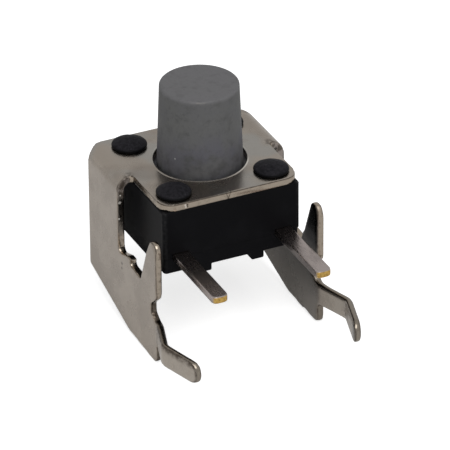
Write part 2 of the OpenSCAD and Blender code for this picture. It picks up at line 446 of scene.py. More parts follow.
@dataclass(frozen=True)
class PlatedSheet:
    """Satin plated sheet steel whose sheared edges are bare, beige and mottled."""

    plating: Colour = (0.412, 0.362, 0.310)
    dull_plating: Colour = (0.355, 0.310, 0.265)
    cool_plating: Colour = (0.372, 0.362, 0.338)
    # painted light: a lighter tone laid over the legs' faces
    painted_leg_light: Colour = (0.465, 0.42, 0.365)
    stain: Colour = (0.245, 0.205, 0.17)
    # painted shade: the dark tone laid over the arms' inner sides
    inside: Colour = (0.085, 0.082, 0.078)
    # painted shade: near black, laid on the inner sides behind the fingers
    painted_finger_shade: Colour = (0.007, 0.006, 0.0055)
    sheared: Colour = (0.40, 0.34, 0.275)
    foot_edge: Colour = (0.24, 0.215, 0.18)
    arch_pale: Colour = (0.34, 0.295, 0.27)
    dark_cut: Colour = (0.135, 0.122, 0.110)
    # dark torn metal, also laid as a painted dark reflection on the left leg's top edge
    torn: Colour = (0.09, 0.072, 0.058)
    # painted highlight: near white, for the glints, the burr's highlight and the specks on the sheared edges
    painted_glint: Colour = (0.95, 0.90, 0.83)
    # near black, for the nicks and for the painted shade on the right ear's outline
    pit_and_shade: Colour = (0.03, 0.025, 0.02)

    cool_size: float = 2.6
    cloud_size: float = 1.7
    patch_size: float = 0.45
    fleck_size: float = 0.18
    tear_size: float = 0.17
    tear_rough: float = 0.65
    dust_size: float = 0.05

    plate: Zone = Zone(z=(1.7, 2.3))
    legs: Zone = Zone(y=(-0.1, -0.9))
    # where the painted shade on the arms' inner sides lies
    inner_sides: Zone = Zone(z=(1.7, 1.2), aside=(3.46, 3.395))
    behind_fingers: Zone = Zone(y=(1.5, 1.2), z=(-0.9, -0.45))
    # where the painted highlight on the front of the hole's burr lies
    burr: Zone = Zone(y=(3.1, 2.5), z=(2.403, 2.416))
    # where the painted dark reflection on the left leg's top edge lies
    left_leg_top_reflection: Zone = Zone(x=(0.0, -1.0), y=(-0.02, -0.2), z=(-2.7, -2.44))
    plate_front: Zone = Zone(y=(0.9, 0.8), z=(1.9, 2.0))
    columns: Zone = Zone(z=(-0.5, 0.1), below=(1.75, 1.3), aside=(3.3, 3.35), near_y=(3.7, 0.3))
    rear: Zone = Zone(y=(6.4, 6.5))
    feet: Zone = Zone(z=(-1.6, -1.72))
    left_foot: Zone = Zone(x=(0.0, -1.0), y=(-0.1, 0.05), z=(-1.6, -1.72))
    arches: Zone = Zone(z=(1.3, 1.7), aside=(3.1, 3.2), near_y=(3.55, 0.55))
    rim: Zone = Zone(aside=(3.12, 3.06), near_z=(2.362, 0.036))
    # where the painted shade along the right arm's outer corner and the plate's right rim lies
    right_outline_shade: Zone = Zone(x=(3.62, 3.68), z=(0.9, 1.2), near_y=(3.55, 0.3))
    right_rim_shade: Zone = Zone(x=(2.94, 2.99), y=(3.6, 3.4), z=(2.2, 2.3))
    tab: Zone = Zone(y=(0.9, 0.85), z=(2.05, 2.1))
    tab_x: float = -0.16
    tab_low: float = 2.1
    tab_slope: float = 0.32
    tab_line: float = 0.035

    dulling: Mottle = Mottle(0.0, 1.0, (0.38, 0.62))
    cooling: Mottle = Mottle(0.0, 0.75, (0.46, 0.6))
    patch_stain: Mottle = Mottle(0.0, 0.22, (0.55, 0.8))
    fleck_stain: Mottle = Mottle(0.0, 0.12, (0.6, 0.85))
    # how strongly the painted light on the legs shows
    leg_light_mottle: Mottle = Mottle(0.75, -0.5, (0.45, 0.7))
    # how deep the painted shade on the inner sides is, deeper higher up
    inner_shade: Mottle = Mottle(0.58, 0.32, (-3.6, -1.2))
    grime_flecks: Mottle = Mottle(0.0, 0.7, (0.4, 0.6))
    leg_reflection_mottle: Mottle = Mottle(0.3, 0.6, (0.38, 0.6))
    edge_tear: Mottle = Mottle(0.0, 1.0, (0.5, 0.72))
    # how strongly the painted glints show as specks on the sheared edges
    edge_glints: Mottle = Mottle(0.0, 0.22, (0.66, 0.78))
    foot_flecks: Mottle = Mottle(0.6, 0.4, (0.35, 0.55))
    arch_tear: Mottle = Mottle(0.0, 1.0, (0.46, 0.6))
    lip_flecks: Mottle = Mottle(0.45, 0.55, (0.36, 0.56))
    rim_flecks: Mottle = Mottle(0.4, 0.45, (0.3, 0.5))

    finger_shade_share: float = 0.92
    stain_share: float = 0.45
    burr_highlight_share: float = 0.6
    tear_share: float = 0.6
    front_calm: float = 0.4
    foot_share: float = 0.7
    rear_share: float = 0.6
    column_share: float = 0.75
    column_tear: float = 0.3
    edge_cut: Span = (0.25, 0.75)
    lip_cut: Span = (0.40, 0.44)
    lip_share: float = 0.95
    outline_shade_cuts: Span = (0.05, 0.3)
    outline_shade_share: float = 0.8
    tab_share: float = 0.8
    nick_share: float = 0.9
    glint_share: float = 0.8
    arch_dull: float = 0.75
    glint_dull: float = 0.6

    plating_roughness: float = 0.27
    sheared_roughness: float = 0.2
    cloud_roughness: float = 0.1
    patch_roughness: float = 0.08
    tear_roughness: float = 0.3
    scuff_roughness: float = 0.3
    patch_relief: float = 0.35
    fleck_relief: float = 0.07
    tear_relief: float = 0.7
    front_relief: float = 0.45
    dust_relief: float = 0.12
    relief_depth: float = 0.012

    # painted glints: small near-white spots on the column, the left finger and the plate's front edge
    painted_glints: Marks = (
        ((-3.6, 3.63, 1.27), 0.1),
        ((-3.63, 3.63, 0.54), 0.06),
        ((-3.56, 3.63, 1.6), 0.05),
        ((-3.66, 0.02, 1.12), 0.08),
        ((-2.04, 0.73, 2.29), 0.045),
        ((-2.02, 0.73, 2.2), 0.04),
    )
    nicks: Marks = (
        ((3.31, 3.65, 2.06), 0.1),
        ((-3.71, 3.27, -1.3), 0.07),
        ((-3.71, 3.29, -1.52), 0.07),
        ((-1.95, 0.73, 2.28), 0.05),
        ((-1.94, 0.73, 2.2), 0.04),
        ((-3.6, 0.02, 1.0), 0.06),
    )
    grime: Marks = (((-3.08, 3.74, 2.38), 0.3), ((3.08, 3.74, 2.38), 0.3), ((3.3, 6.5, 2.2), 0.3))
    stains: Marks = (((-1.3, 1.15, 2.4), 1.1), ((-2.45, 3.65, 2.4), 0.85))
    scuffs: Marks = (((3.52, 0.08, 1.04), 0.2),)

    def grains(self, recipe: Recipe) -> Grains:
        """Makes the noises.

        Args:
            recipe: the material's recipe.

        Returns:
            The noises.
        """
        return Grains(
            cut=recipe.attribute(CUT_ATTRIBUTE),
            cloud=recipe.grain(self.cloud_size),
            patch=recipe.grain(self.patch_size),
            fleck=recipe.grain(self.fleck_size),
            dust=recipe.grain(self.dust_size, detail=FINE_DETAIL),
            tear=recipe.grain(self.tear_size, rough=self.tear_rough),
        )

    def faces(self, recipe: Recipe, grains: Grains) -> Tint:
        """Colours the plated faces: cool on the plate, painted light on the legs, painted shade on the inner
        sides and behind the fingers, a painted highlight on the burr and a painted dark reflection on the
        left leg's top.

        Args:
            recipe: the material's recipe.
            grains: its noises.

        Returns:
            The faces' colour.
        """
        colour = recipe.blend(self.plating, self.dull_plating, self.dulling.amount(grains.cloud))
        cool = self.cooling.amount(recipe.grain(self.cool_size, detail=FINE_DETAIL))
        colour = colour.toward(self.cool_plating, cool * recipe.within(self.plate))
        stained = self.patch_stain.amount(grains.patch) + self.fleck_stain.amount(grains.fleck)
        colour = colour.toward(self.stain, stained)
        # Painted light: the legs' faces are made lighter.
        colour = colour.toward(self.painted_leg_light, recipe.within(self.legs) * self.leg_light_mottle.amount(grains.patch))
        # Painted shade on the arms' inner sides, deeper higher up.
        inner = recipe.within(self.inner_sides)
        colour = colour.toward(self.inside, inner * self.inner_shade.amount(recipe.along(Axis.Z)))
        # Painted shade, near black, on the inner sides behind the fingers.
        behind = inner * recipe.within(self.behind_fingers)
        colour = colour.toward(self.painted_finger_shade, behind * self.finger_shade_share)
        grime = recipe.spots(self.grime, grains.patch) * self.grime_flecks.amount(grains.fleck)
        colour = colour.toward(self.torn, grime)
        colour = colour.toward(self.stain, recipe.spots(self.stains, grains.cloud) * self.stain_share)
        # Painted highlight: a pale line along the front of the hole's burr.
        colour = colour.toward(self.painted_glint, recipe.within(self.burr) * self.burr_highlight_share)
        # Painted dark reflection on the left leg's top edge, mottled.
        return colour.toward(self.torn, recipe.within(self.left_leg_top_reflection) * self.leg_reflection_mottle.amount(grains.tear))

    def edges(self, recipe: Recipe, grains: Grains, front: Number, arch: Number) -> Tint:
        """Colours the sheared edges, with painted glints, darker at the feet, the rear and the columns.

        Args:
            recipe: the material's recipe.
            grains: its noises.
            front: 1 on the plate's front edge.
            arch: 1 on the cut edges of the reliefs beside the plate.

        Returns:
            The edges' colour.
        """
        torn = self.edge_tear.amount(grains.tear) * (self.tear_share - front * self.front_calm)
        colour = recipe.blend(self.sheared, self.torn, torn)
        # Painted glints: near-white specks on the sheared edges.
        colour = colour.toward(self.painted_glint, self.edge_glints.amount(grains.dust))
        colour = colour.toward(self.foot_edge, recipe.within(self.feet) * self.foot_share)
        left_foot = recipe.within(self.left_foot) * self.foot_flecks.amount(grains.fleck)
        colour = colour.toward(self.torn, left_foot)
        colour = colour.toward(self.torn, recipe.within(self.rear) * self.rear_share)
        column = recipe.within(self.columns) * (self.column_share + grains.tear * self.column_tear)
        colour = colour.toward(self.dark_cut, column)
        pale = recipe.blend(self.arch_pale, self.torn, self.arch_tear.amount(grains.tear))
        return colour.toward(pale, arch)

    def notch(self, recipe: Recipe) -> Number:
        """Draws the V that the carrier strip's tab left in the plate's front edge.

        Args:
            recipe: the material's recipe.

        Returns:
            The mark.
        """
        reach = (recipe.along(Axis.Z) - self.tab_low) * self.tab_slope
        line = abs(recipe.along(Axis.X) - self.tab_x).band(reach, self.tab_line)
        return line * recipe.within(self.tab) * self.tab_share

    def rims(self, recipe: Recipe, grains: Grains, colour: Tint) -> Tint:
        """Darkens the lip of the cuts and the plate's side rims, and paints shade on the right ear's outline.

        Args:
            recipe: the material's recipe.
            grains: its noises.
            colour: the colour of faces and edges.

        Returns:
            The colour with its dark lines.
        """
        lip = grains.cut.band(*self.lip_cut) * self.lip_flecks.amount(grains.fleck)
        colour = colour.toward(self.torn, lip * self.lip_share)
        colour = colour.toward(self.torn, recipe.within(self.rim) * self.rim_flecks.amount(grains.fleck))
        # Painted shade, near black, along the right ear's outline: the arm's outer corner and the plate's
        # right rim.
        dark = recipe.within(self.right_outline_shade).either(recipe.within(self.right_rim_shade))
        return colour.toward(self.pit_and_shade, dark * grains.cut.rise(*self.outline_shade_cuts) * self.outline_shade_share)

    def roughness(self, recipe: Recipe, grains: Grains) -> Number:
        """Makes the faces patchy, the edges uneven and the scuffs dull.

        Args:
            recipe: the material's recipe.
            grains: its noises.

        Returns:
            The roughness.
        """
        faces = grains.cloud.swing(self.cloud_roughness) + grains.patch.swing(self.patch_roughness)
        edges = self.sheared_roughness - self.plating_roughness + grains.tear.swing(self.tear_roughness)
        scuffs = recipe.spots(self.scuffs, grains.fleck) * self.scuff_roughness
        return (self.plating_roughness + faces + grains.cut * edges + scuffs).clamped()

    def relief(self, grains: Grains, front: Number, nicks: Number) -> Number:
        """Makes the faces wavy and the edges torn, with the nicks cut in.

        Args:
            grains: the material's noises.
            front: 1 on the plate's front edge.
            nicks: 1 in the nicks.

        Returns:
            The height.
        """
        faces = grains.patch * self.patch_relief + grains.fleck * self.fleck_relief
        tear = grains.tear * (self.tear_relief - self.front_relief * front)
        edges = tear + grains.dust * self.dust_relief
        return (1.0 - grains.cut) * faces + grains.cut * edges - nicks

    def material(self) -> bpy.types.Material:
        """Makes the material.

        Returns:
            The material.
        """
        recipe = Recipe(bpy.data.materials.new("plated_sheet"))
        grains = self.grains(recipe)
        front = recipe.within(self.plate_front)
        arch = grains.cut * recipe.within(self.arches)
        # Painted glints, small near-white spots.
        painted_glints = recipe.spots(self.painted_glints, grains.fleck)
        nicks = recipe.spots(self.nicks, grains.fleck).either(self.notch(recipe))
        edges = self.edges(recipe, grains, front, arch)
        colour = self.faces(recipe, grains).toward(edges, grains.cut.rise(*self.edge_cut))
        colour = self.rims(recipe, grains, colour).toward(self.pit_and_shade, nicks * self.nick_share)
        return recipe.finish(
            # The painted glints are near white and less metallic.
            Base_Color=colour.toward(self.painted_glint, painted_glints * self.glint_share),
            Metallic=(1.0 - arch * self.arch_dull - painted_glints * self.glint_dull).clamped(),
            Roughness=self.roughness(recipe, grains),
            Normal=recipe.bump(self.relief(grains, front, nicks), self.relief_depth),
        )


@dataclass(frozen=True)
class BlackMoulding:
    """Matte black moulded plastic, rougher and bumpier on the flattened stud heads."""

    base: Colour = (0.0060, 0.0060, 0.0070)
    worn: Colour = (0.0100, 0.0100, 0.0115)
    head: Colour = (0.0245, 0.0235, 0.0275)
    # rubbed wear at the front corners
    wear_and_highlight: Colour = (0.024, 0.024, 0.025)
    speck: Colour = (0.075, 0.07, 0.085)
    cloud_size: float = 1.1
    pebble_size: float = 0.13
    dust_size: float = 0.04
    heads: Zone = Zone(z=(2.50, 2.58))
    front_corners: Zone = Zone(y=(1.0, 0.84), aside=(2.78, 2.94))
    wear: Mottle = Mottle(0.0, 0.5, (0.45, 0.75))
    corner_rub: Mottle = Mottle(0.35, 0.65, (0.42, 0.6))
    corner_dust: Mottle = Mottle(0.0, 0.8, (0.66, 0.74))
    head_pebbles: Mottle = Mottle(0.35, 0.65, (0.3, 0.65))
    head_dust: Mottle = Mottle(0.0, 0.55, (0.58, 0.74))
    roughness: float = 0.34
    cloud_roughness: float = 0.12
    head_roughness: float = 0.2
    specular: float = 0.035
    pebble_relief: float = 0.12
    dust_relief: float = 0.08
    head_relief: float = 0.2
    relief_depth: float = 0.02

    def material(self) -> bpy.types.Material:
        """Makes the material.

        Returns:
            The material.
        """
        recipe = Recipe(bpy.data.materials.new("black_moulding"))
        cloud, pebble = recipe.grain(self.cloud_size), recipe.grain(self.pebble_size)
        dust = recipe.grain(self.dust_size, detail=FINE_DETAIL)
        head, corner = recipe.within(self.heads), recipe.within(self.front_corners)
        colour = recipe.blend(self.base, self.worn, self.wear.amount(cloud))
        colour = colour.toward(self.wear_and_highlight, corner * self.corner_rub.amount(pebble))
        colour = colour.toward(self.speck, corner * self.corner_dust.amount(dust))
        colour = colour.toward(self.head, head * self.head_pebbles.amount(pebble))
        colour = colour.toward(self.speck, head * self.head_dust.amount(dust))
        roughness = self.roughness + cloud.swing(self.cloud_roughness) + head * self.head_roughness
        sides = pebble * self.pebble_relief + dust * self.dust_relief
        relief = (1.0 - head) * sides + head * (pebble + dust) * self.head_relief
        return recipe.finish(
            Base_Color=colour,
            Roughness=roughness.clamped(),
            Specular_IOR_Level=self.specular,
            Normal=recipe.bump(relief, self.relief_depth),
        )


@dataclass(frozen=True)
class GreyMoulding:
    """Matte mid-grey moulded plastic with faint clouds, darker near the button's foot from grime and painted
    shade, with painted light on the top and a painted highlight on the top's front rim.
    """

    base: Colour = (0.135, 0.135, 0.139)
    cool: Colour = (0.125, 0.124, 0.141)
    warm: Colour = (0.134, 0.135, 0.131)
    # painted light: a paler tone laid on the button's top
    pale: Colour = (0.176, 0.174, 0.180)
    # painted highlight: a pale tone laid on the front of the top's rim
    wear_and_highlight: Colour = (0.30, 0.285, 0.265)
    # grime, also laid as painted shade towards the foot
    grime: Colour = (0.05, 0.05, 0.053)
    dust: Colour = (0.5, 0.5, 0.5)
    cloud_size: float = 1.3
    patch_size: float = 0.42
    mottle_size: float = 0.15
    grit_size: float = 0.05
    # where the button darkens towards its foot, partly grime and partly painted shade
    foot: Zone = Zone(z=(3.8, 2.3))
    upper: Zone = Zone(z=(3.5, 4.6))
    # where the painted light on the top lies
    top: Zone = Zone(z=(5.62, 5.8))
    # where the painted highlight on the front of the top's rim lies
    rim_highlight: Zone = Zone(y=(2.75, 2.6), near_x=(-0.68, 0.4), near_z=(5.765, 0.05))
    specks: Marks = (((-1.48, 2.9, 3.15), 0.045), ((-0.95, 2.45, 2.75), 0.02))
    cooling: Mottle = Mottle(0.0, 1.0, (0.4, 0.62))
    warming: Mottle = Mottle(0.0, 0.7, (0.5, 0.75))
    foot_grime_and_shade: Mottle = Mottle(0.16, 0.42, (0.36, 0.66))
    patch_smudge: Mottle = Mottle(0.0, 0.26, (0.48, 0.72))
    mottle_smudge: Mottle = Mottle(0.0, 0.2, (0.5, 0.75))
    rim_highlight_mottle: Mottle = Mottle(0.25, 0.4, (0.35, 0.6))
    upper_share: float = 0.7
    top_light_share: float = 0.6
    top_light_cloud: float = 0.5
    top_clean: float = 0.25
    speck_share: float = 0.7
    roughness: float = 0.6
    cloud_roughness: float = 0.15
    grit_roughness: float = 0.1
    specular: float = 0.25
    patch_relief: float = 0.4
    mottle_relief: float = 0.3
    grit_relief: float = 0.2
    relief_depth: float = 0.012

    def material(self) -> bpy.types.Material:
        """Makes the material.

        Returns:
            The material.
        """
        recipe = Recipe(bpy.data.materials.new("grey_moulding"))
        cloud, patch = recipe.grain(self.cloud_size), recipe.grain(self.patch_size)
        mottle = recipe.grain(self.mottle_size)
        grit = recipe.grain(self.grit_size, detail=FINE_DETAIL)
        top = recipe.within(self.top)
        colour = recipe.blend(self.base, self.cool, self.cooling.amount(cloud))
        colour = colour.toward(self.warm, self.warming.amount(patch))
        # Darker towards the foot: partly grime, partly painted shade.
        colour = colour.toward(self.grime, recipe.within(self.foot) * self.foot_grime_and_shade.amount(patch))
        colour = colour.toward(self.warm, recipe.within(self.upper) * self.upper_share)
        # Painted light: the top is made paler, in clouds.
        colour = colour.toward(self.pale, top * (self.top_light_share + cloud * self.top_light_cloud).clamped())
        smudges = self.patch_smudge.amount(patch) + self.mottle_smudge.amount(mottle)
        colour = colour.toward(self.grime, smudges * (1.0 - top * self.top_clean))
        # Painted highlight along the front of the top's rim, mottled.
        colour = colour.toward(self.wear_and_highlight, recipe.within(self.rim_highlight) * self.rim_highlight_mottle.amount(mottle))
        colour = colour.toward(self.dust, recipe.spots(self.specks, mottle) * self.speck_share)
        roughness = self.roughness + cloud.swing(self.cloud_roughness) + grit.swing(self.grit_roughness)
        relief = patch * self.patch_relief + mottle * self.mottle_relief + grit * self.grit_relief
        return recipe.finish(
            Base_Color=colour,
            Roughness=roughness.clamped(),
            Specular_IOR_Level=self.specular,
            Normal=recipe.bump(relief, self.relief_depth),
        )


@dataclass(frozen=True)
class TinnedBrass:
    """Tinned brass strip whose cut tip shows the bare brass."""

    tin: Colour = (0.455, 0.395, 0.372)
    dull_tin: Colour = (0.285, 0.25, 0.24)
    scratch: Colour = (0.13, 0.118, 0.112)
    brass: Colour = (0.66, 0.43, 0.12)
    dark_brass: Colour = (0.28, 0.16, 0.05)
    cloud_size: float = 0.5
    cloud_stretch: Point = (1.0, 0.35, 1.0)
    streak_size: float = 0.05
    streak_stretch: Point = (1.0, 0.12, 1.0)
    tear_size: float = 0.12
    dulling: Mottle = Mottle(0.0, 0.8, (0.42, 0.7))
    scratches: Mottle = Mottle(0.0, 0.25, (0.62, 0.75))
    brass_tear: Mottle = Mottle(0.0, 0.8, (0.42, 0.68))
    streak_dulling: float = 0.3
    roughness: float = 0.27
    cloud_roughness: float = 0.2
    streak_roughness: float = 0.12
    cut_roughness: float = 0.14
    streak_relief: float = 0.32
    cloud_relief: float = 0.4
    tear_relief: float = 0.3
    relief_depth: float = 0.01

    def material(self) -> bpy.types.Material:
        """Makes the material.

        Returns:
            The material.
        """
        recipe = Recipe(bpy.data.materials.new("tinned_brass"))
        cut, tear = recipe.attribute(CUT_ATTRIBUTE), recipe.grain(self.tear_size)
        cloud = recipe.grain(self.cloud_size, at=recipe.stretched(self.cloud_stretch))
        streak = recipe.grain(self.streak_size, at=recipe.stretched(self.streak_stretch))
        dull = (self.dulling.amount(cloud) + streak.swing(self.streak_dulling)).clamped()
        tin = recipe.blend(self.tin, self.dull_tin, dull).toward(self.scratch, self.scratches.amount(streak))
        bare = recipe.blend(self.brass, self.dark_brass, self.brass_tear.amount(tear))
        patchy = cloud.swing(self.cloud_roughness) + streak.swing(self.streak_roughness)
        relief = streak * self.streak_relief + cloud * self.cloud_relief + tear * self.tear_relief
        return recipe.finish(
            Base_Color=tin.toward(bare, cut),
            Metallic=1.0,
            Roughness=(self.roughness + patchy + cut * self.cut_roughness).clamped(),
            Normal=recipe.bump(relief + cut * tear, self.relief_depth),
        )


@dataclass(frozen=True)
class SpringSteel:
    """Bright rolled spring strip."""

    steel: Colour = (0.60, 0.60, 0.62)
    dark: Colour = (0.48, 0.48, 0.50)
    rolling_size: float = 0.06
    rolling_stretch: Point = (0.15, 1.0, 1.0)
    roughness: float = 0.22
    rolling_roughness: float = 0.12
    relief_depth: float = 0.002

    def material(self) -> bpy.types.Material:
        """Makes the material.

        Returns:
            The material.
        """
        recipe = Recipe(bpy.data.materials.new("spring_steel"))
        rolling = recipe.grain(self.rolling_size, at=recipe.stretched(self.rolling_stretch))
        return recipe.finish(
            Base_Color=recipe.blend(self.steel, self.dark, rolling),
            Metallic=1.0,
            Roughness=self.roughness + rolling * self.rolling_roughness,
            Normal=recipe.bump(rolling, self.relief_depth),
        )


# Meshes.


def merged_copy(node: bpy.types.Object) -> bmesh.types.BMesh:
    """Copies a CAD node's triangles into one closed mesh with flat faces joined.

    Args:
        node: the CAD node's object.

    Returns:
        The mesh, in millimetres.
    """
    mesh = bmesh.new()
    mesh.from_mesh(node.data)
    bmesh.ops.scale(mesh, vec=(1.0 / MM,) * 3, verts=mesh.verts)
    bmesh.ops.remove_doubles(mesh, verts=mesh.verts, dist=WELD_DISTANCE)
    bmesh.ops.dissolve_limit(mesh, angle_limit=radians(FLAT_ANGLE), verts=mesh.verts, edges=mesh.edges)
    return mesh


def sharp_edges(mesh: bmesh.types.BMesh, angle: float) -> list[bmesh.types.BMEdge]:
    """Finds the edges between two faces that meet at more than an angle in degrees."""
    return [edge for edge in mesh.edges if edge.is_manifold and edge.calc_face_angle() > radians(angle)]


def middle_of(edge: bmesh.types.BMEdge) -> Vector:
    """The point halfway along an edge."""
    return (edge.verts[0].co + edge.verts[1].co) / 2


def round_edges(
    mesh: bmesh.types.BMesh, radius: float, angle: float, segments: int, where: Callable[[Vector], bool]
) -> None:
    """Rounds the sharp edges of a mesh.

    Args:
        mesh: the mesh, in millimetres.
        radius: how far the rounding reaches along each face.
        angle: the angle in degrees between two faces from which their edge is sharp.
        segments: how many faces the rounding has.
        where: tells from an edge's middle whether it is rounded.
    """
    bmesh.ops.bevel(
        mesh,
        geom=[edge for edge in sharp_edges(mesh, angle) if where(middle_of(edge))],
        offset=radius,
        offset_type="OFFSET",
        segments=segments,
        profile=0.5,
        affect="EDGES",
        clamp_overlap=False,
        material=-1,
    )


def regridded(mesh: bmesh.types.BMesh, cell: float) -> bmesh.types.BMesh:
    """Rebuilds a closed mesh on a fine, even grid, on which smoothing rounds every edge alike.

    Args:
        mesh: the mesh in millimetres, which is freed.
        cell: the size of the grid's cells.

    Returns:
        The new mesh.
    """
    data = bpy.data.meshes.new("blank")
    mesh.to_mesh(data)
    mesh.free()
    blank = bpy.data.objects.new("blank", data)
    bpy.context.scene.collection.objects.link(blank)
    grid = blank.modifiers.new("grid", "REMESH")
    grid.mode = "VOXEL"
    grid.voxel_size = cell
    even = bpy.data.meshes.new_from_object(blank.evaluated_get(bpy.context.evaluated_depsgraph_get()))
    result = bmesh.new()
    result.from_mesh(even)
    bpy.data.objects.remove(blank)
    for item in (even, data):
        bpy.data.meshes.remove(item)
    return result


def wear_down(
    mesh: bmesh.types.BMesh, passes: int, wear: Callable[[Vector], float] = lambda place: 1.0
) -> None:
    """Smooths a fine mesh, which rounds its edges.

    Args:
        mesh: the mesh, in millimetres.
        passes: how many times the most worn places are smoothed.
        wear: tells how worn a place is, from 0 to 1.
    """
    worn = [(vertex, wear(vertex.co) * passes) for vertex in mesh.verts]
    for number in range(passes):
        verts = [vertex for vertex, limit in worn if limit > number]
        bmesh.ops.smooth_vert(
            mesh, verts=verts, factor=0.5, use_axis_x=True, use_axis_y=True, use_axis_z=True
        )


def lathe(mesh: bmesh.types.BMesh, section: Section, centre: Point, turns: int) -> list[bmesh.types.BMVert]:
    """Turns a half section about an upright axis into a closed shape.

    Args:
        mesh: the mesh that gets the shape, in millimetres.
        section: its (radius, height) points, from axis to axis or round a ring.
        centre: where the axis stands and the height that the section counts from.
        turns: how many steps the turn has.

    Returns:
        The shape's points.
    """
    before = set(mesh.verts)
    ring = [mesh.verts.new((radius, 0.0, height)) for radius, height in section]
    pairs = list(zip(ring, ring[1:]))
    if min(radius for radius, _ in section) > 0:
        pairs.append((ring[-1], ring[0]))
    geom = ring + [mesh.edges.new(pair) for pair in pairs]
    bmesh.ops.spin(mesh, geom=geom, axis=(0, 0, 1), cent=(0, 0, 0), steps=turns, angle=2 * pi, use_merge=True)
    made = [vertex for vertex in mesh.verts if vertex not in before]
    bmesh.ops.remove_doubles(mesh, verts=made, dist=WELD_DISTANCE)
    made = [vertex for vertex in mesh.verts if vertex not in before]
    bmesh.ops.translate(mesh, vec=centre, verts=made)
    faces = list({face for vertex in made for face in vertex.link_faces})
    bmesh.ops.recalc_face_normals(mesh, faces=faces)
    return made


def mark_cuts(mesh: bmesh.types.BMesh, how_cut: Callable[[Vector, Vector], float]) -> None:
    """Gives each vertex the share of bare cut metal around it.

    Args:
        mesh: the mesh, in millimetres.
        how_cut: tells from a face's middle and normal how much of a cut it is, from 0 to 1.
    """
    mesh.normal_update()
    layer = mesh.verts.layers.float.new(CUT_ATTRIBUTE)
    for vertex in mesh.verts:
        shares = [how_cut(face.calc_center_median(), face.normal) for face in vertex.link_faces]
        if min(shares) < 1.0 - WHOLLY_CUT:
            vertex[layer] = 0.0
        elif min(shares) > WHOLLY_CUT:
            vertex[layer] = 1.0
        else:
            vertex[layer] = sum(shares) / len(shares)


def make_piece(
    name: str, mesh: bmesh.types.BMesh, material: bpy.types.Material, smooth_angle: float = 35.0
) -> bpy.types.Object:
    """Turns a mesh in millimetres into a finished object in metres.

    Args:
        name: the piece's name.
        mesh: its mesh, which is freed.
        material: its material.
        smooth_angle: the angle in degrees up to which neighbouring faces shade as one.

    Returns:
        The object.
    """
    bmesh.ops.scale(mesh, vec=(MM,) * 3, verts=mesh.verts)
    data = bpy.data.meshes.new(name)
    mesh.to_mesh(data)
    mesh.free()
    data.materials.append(material)
    data.shade_smooth()
    data.set_sharp_from_angle(angle=radians(smooth_angle))
    piece = bpy.data.objects.new(name, data)
    bpy.context.scene.collection.objects.link(piece)
    weights = piece.modifiers.new("even_shading", "WEIGHTED_NORMAL")
    weights.keep_sharp = True
    LOG.info("%s: %d faces", name, len(data.polygons))
    return piece


@dataclass
class Bracket:
    """The folded, plated stamping."""

    node: bpy.types.Object
    finish: PlatedSheet
    grid_cell: float = 0.05
    passes: int = 3
    tip_passes: int = 18
    flat_half: float = 3.09
    fold_z: float = 1.78
    fold_gain: float = 1.2
    arm_gain: float = 1.05
    plate_top: float = 2.40
    leg_start: float = 0.1
    leg_end: float = -0.5
    tip_z: float = 0.95
    tip_fade: float = 0.35
    finger_y: float = 1.3
    inner_x: float = 3.55
    hole_centre: Point = (0.0, 3.75, 2.40)
    hole_turns: int = 96
    burr_r: float = 1.894
    burr: Section = (
        (0.0, -0.06),
        (0.0, 0.0044),
        (0.012, 0.0176),
        (0.035, 0.022),
        (0.066, 0.0099),
        (0.11, -0.004),
        (0.11, -0.06),
    )

    def how_cut(self, middle: Vector, normal: Vector) -> float:
        """Tells how much a face belongs to a sheared edge.

        Args:
            middle: the face's middle, in millimetres.
            normal: its direction.

        Returns:
            0 on the sheet's own faces and 1 on its sheared edges.
        """
        if middle.z > self.plate_top:
            return 0.0
        if middle.z > self.fold_z and abs(middle.x) < self.flat_half:
            return 1.0 - abs(normal.z)
        if middle.z > self.fold_z:
            return min(abs(normal.y) * self.fold_gain, 1.0)
        return 1.0 - min(abs(normal.x) * self.arm_gain, 1.0)

    def wear(self, place: Vector) -> float:
        """Tells how rounded a place is beyond the rest.

        Args:
            place: the place, in millimetres.

        Returns:
            1 on the legs, the fingers' tips and the fingers' inner sides, fading to 0.
        """
        if place.z > self.fold_z or place.y > self.finger_y:
            return 0.0
        leg = (self.leg_start - place.y) / (self.leg_start - self.leg_end)
        tip = 1.0 - (self.tip_z - place.z) / self.tip_fade
        inner = 1.0 if abs(place.x) < self.inner_x else 0.0
        return min(max(leg, tip, inner), 1.0)

    def add_burr(self, mesh: bmesh.types.BMesh) -> None:
        """Adds the low lip that the punch raised round the button's hole."""
        section = [(self.burr_r + outward, height) for outward, height in self.burr]
        lathe(mesh, section, self.hole_centre, self.hole_turns)

    def build(self) -> bpy.types.Object:
        """Makes the piece and puts it in the node's place.

        Returns:
            The piece.
        """
        mesh = regridded(merged_copy(self.node), self.grid_cell)
        wear_down(mesh, self.passes)
        wear_down(mesh, self.tip_passes, self.wear)
        self.add_burr(mesh)
        mark_cuts(mesh, self.how_cut)
        piece = make_piece("bracket_stamping", mesh, self.finish.material())
        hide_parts("bracket")
        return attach(piece, "switch_body")


